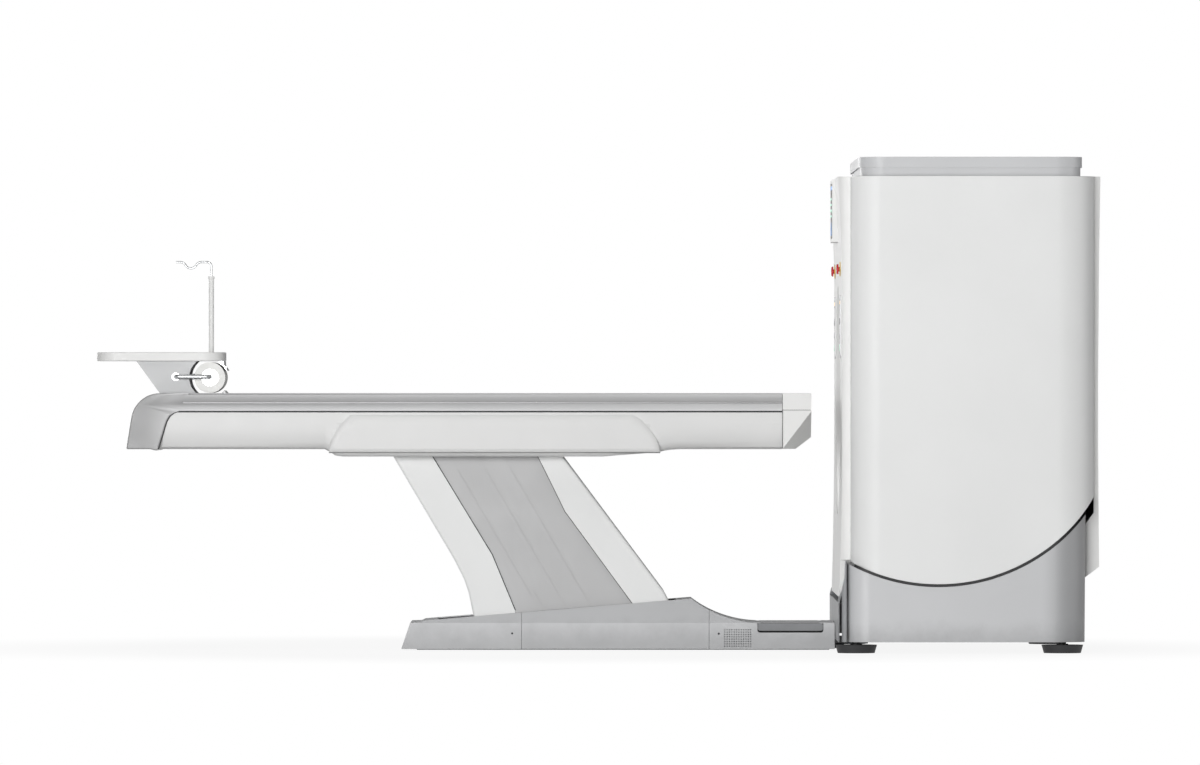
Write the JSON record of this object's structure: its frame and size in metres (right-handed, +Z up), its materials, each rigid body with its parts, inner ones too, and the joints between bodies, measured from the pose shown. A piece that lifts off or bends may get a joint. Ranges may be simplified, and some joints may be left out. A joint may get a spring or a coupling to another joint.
{
  "type": "ct scanner",
  "caption": "Tilting ring gantry with a round patient bore, beside a patient table on a parallelogram lift with a sliding cradle and a foot-end accessory tray.",
  "frame": {"origin": "on the floor, in the middle of the overall length and width", "axes": "+X along the patient axis from the table's foot end towards the back of the gantry, +Z up"},
  "size_m": [3.822, 1.96, 1.875],
  "materials": {
    "cover_white": "painted moulded cover, satin",
    "cover_warm": "painted moulded cover, satin",
    "base_grey": "painted moulded cover, satin light grey",
    "trim_grey": "satin mid grey",
    "panel_grey": "painted sheet steel",
    "frame_paint": "painted weldment",
    "steel": "turned and ground",
    "rotor_alloy": "machined casting",
    "copper_track": "polished contact rings",
    "unit_paint": "painted housing",
    "foot_rubber": "black moulded pad",
    "carbon_bed": "light composite bed",
    "bracket_grey": "painted sheet",
    "paper": "soft white roll",
    "screen_black": "glossy screen glass",
    "panel_white": "membrane key plate",
    "collar_yellow": "moulded collar",
    "stop_red": "moulded button"
  },
  "bodies": {
    "base": {"gantry_base_frame": "frame_paint", "base_cover_left": "base_grey", "base_cover_right": "base_grey", "base_cover_front": "trim_grey", "base_panel_rear": "base_grey", "gantry_feet": "foot_rubber", "trunnion_bearings": "steel", "table_base_frame": "frame_paint", "table_cover_rear": "base_grey", "table_cover_middle": "base_grey", "table_cover_front": "base_grey", "lift_gearbox": "unit_paint", "base_pivot_shafts": "steel"},
    "tilting_gantry": {"tilt_frame": "frame_paint", "front_cover": "cover_warm", "rear_cover": "cover_warm", "side_cover_left": "cover_white", "side_cover_right": "cover_white", "roof_cap": "base_grey", "bore_liner": "cover_warm", "belly_cover": "base_grey", "display": "screen_black", "control_panels": "panel_white", "stop_housings": "collar_yellow", "main_bearing": "steel", "rotor_motor": "unit_paint"},
    "rotor": {"rotor_drum": "rotor_alloy", "xray_tube": "unit_paint", "collimator": "unit_paint", "detector": "unit_paint", "hv_generator": "unit_paint", "rotor_power_box": "unit_paint", "slip_ring": "copper_track"},
    "front_link": {"front_arm": "panel_grey", "front_arm_cover": "cover_white"},
    "rear_link": {"rear_arm": "panel_grey", "rear_arm_cover": "cover_white"},
    "panel_link_1": {"side_panel_1": "panel_grey"},
    "panel_link_2": {"side_panel_2": "panel_grey"},
    "panel_link_3": {"side_panel_3": "panel_grey"},
    "couch": {"couch_frame": "frame_paint", "couch_under_cover": "cover_white", "couch_top_cover": "base_grey", "nose_cover": "cover_warm", "slide_rails": "steel"},
    "cradle_carriage": {"cradle": "carbon_bed", "cradle_head": "cover_warm", "tray_bracket": "bracket_grey", "tray": "cover_warm", "roll_holder": "steel", "paper_cutter": "steel", "iv_tube": "cover_warm"},
    "paper": {"paper_roll": "paper"},
    "drip_rod": {"iv_rod": "steel"},
    "left_pedal": {"pedal_left": "trim_grey"},
    "right_pedal": {"pedal_right": "trim_grey"},
    "stop_fl": {"stop_front_left": "stop_red"},
    "stop_fr": {"stop_front_right": "stop_red"},
    "stop_rl": {"stop_rear_left": "stop_red"},
    "stop_rr": {"stop_rear_right": "stop_red"}
  },
  "joints": [
    {"name": "gantry_tilt", "type": "hinge", "parent": "base", "child": "tilting_gantry", "pos_m": [1.295, 0, 0.954], "axis": [0, 1, 0], "range_deg": [-24, 24]},
    {"name": "rotor_spin", "type": "hinge", "parent": "tilting_gantry", "child": "rotor", "pos_m": [1.295, 0, 0.954], "axis": [1, 0, 0], "continuous": true},
    {"name": "table_lift", "type": "hinge", "parent": "base", "child": "front_link", "pos_m": [0.212, 0, 0.112], "axis": [0, 1, 0], "range_deg": [-40, 0]},
    {"name": "couch_level", "type": "hinge", "parent": "front_link", "child": "couch", "pos_m": [-0.19807, 0, 0.81516], "axis": [0, 1, 0], "range_deg": [0, 40]},
    {"name": "rear_arm_lift", "type": "hinge", "parent": "base", "child": "rear_link", "pos_m": [-0.347, 0, 0.112], "axis": [0, 1, 0], "range_deg": [-40, 0]},
    {"name": "side_panel_1_lift", "type": "hinge", "parent": "base", "child": "panel_link_1", "pos_m": [-0.14297, 0, 0.112], "axis": [0, 1, 0], "range_deg": [-40, 0]},
    {"name": "side_panel_2_lift", "type": "hinge", "parent": "base", "child": "panel_link_2", "pos_m": [-0.04123, 0, 0.112], "axis": [0, 1, 0], "range_deg": [-40, 0]},
    {"name": "side_panel_3_lift", "type": "hinge", "parent": "base", "child": "panel_link_3", "pos_m": [0.1002, 0, 0.112], "axis": [0, 1, 0], "range_deg": [-40, 0]},
    {"name": "cradle_slide", "type": "slide", "parent": "couch", "child": "cradle_carriage", "axis": [1, 0, 0], "range_m": [0, 1.7]},
    {"name": "paper_roll_spin", "type": "hinge", "parent": "cradle_carriage", "child": "paper", "pos_m": [-1.477, 0, 1.041], "axis": [0, 1, 0], "continuous": true},
    {"name": "drip_rod_slide", "type": "slide", "parent": "cradle_carriage", "child": "drip_rod", "axis": [0, 0, 1], "range_m": [0, 0.25]},
    {"name": "left_pedal_press", "type": "hinge", "parent": "base", "child": "left_pedal", "pos_m": [0.746, 0.244, 0.087], "axis": [1, 0, 0], "range_deg": [-6, 0], "stiffness_Nm_per_rad": 8, "springref_deg": 6.88},
    {"name": "right_pedal_press", "type": "hinge", "parent": "base", "child": "right_pedal", "pos_m": [0.746, -0.244, 0.087], "axis": [1, 0, 0], "range_deg": [0, 6], "stiffness_Nm_per_rad": 8, "springref_deg": -6.88},
    {"name": "stop_fl_press", "type": "slide", "parent": "tilting_gantry", "child": "stop_fl", "axis": [1, 0, 0], "range_m": [0, 0.004], "stiffness_N_per_m": 800, "springref_m": -0.002},
    {"name": "stop_fr_press", "type": "slide", "parent": "tilting_gantry", "child": "stop_fr", "axis": [1, 0, 0], "range_m": [0, 0.004], "stiffness_N_per_m": 800, "springref_m": -0.002},
    {"name": "stop_rl_press", "type": "slide", "parent": "tilting_gantry", "child": "stop_rl", "axis": [-1, 0, 0], "range_m": [0, 0.004], "stiffness_N_per_m": 800, "springref_m": -0.002},
    {"name": "stop_rr_press", "type": "slide", "parent": "tilting_gantry", "child": "stop_rr", "axis": [-1, 0, 0], "range_m": [0, 0.004], "stiffness_N_per_m": 800, "springref_m": -0.002}
  ],
  "couplings": [
    {"joint": "couch_level", "follows": "table_lift", "ratio": -1},
    {"joint": "rear_arm_lift", "follows": "table_lift", "ratio": 1},
    {"joint": "side_panel_1_lift", "follows": "table_lift", "ratio": 1},
    {"joint": "side_panel_2_lift", "follows": "table_lift", "ratio": 1},
    {"joint": "side_panel_3_lift", "follows": "table_lift", "ratio": 1}
  ]
}
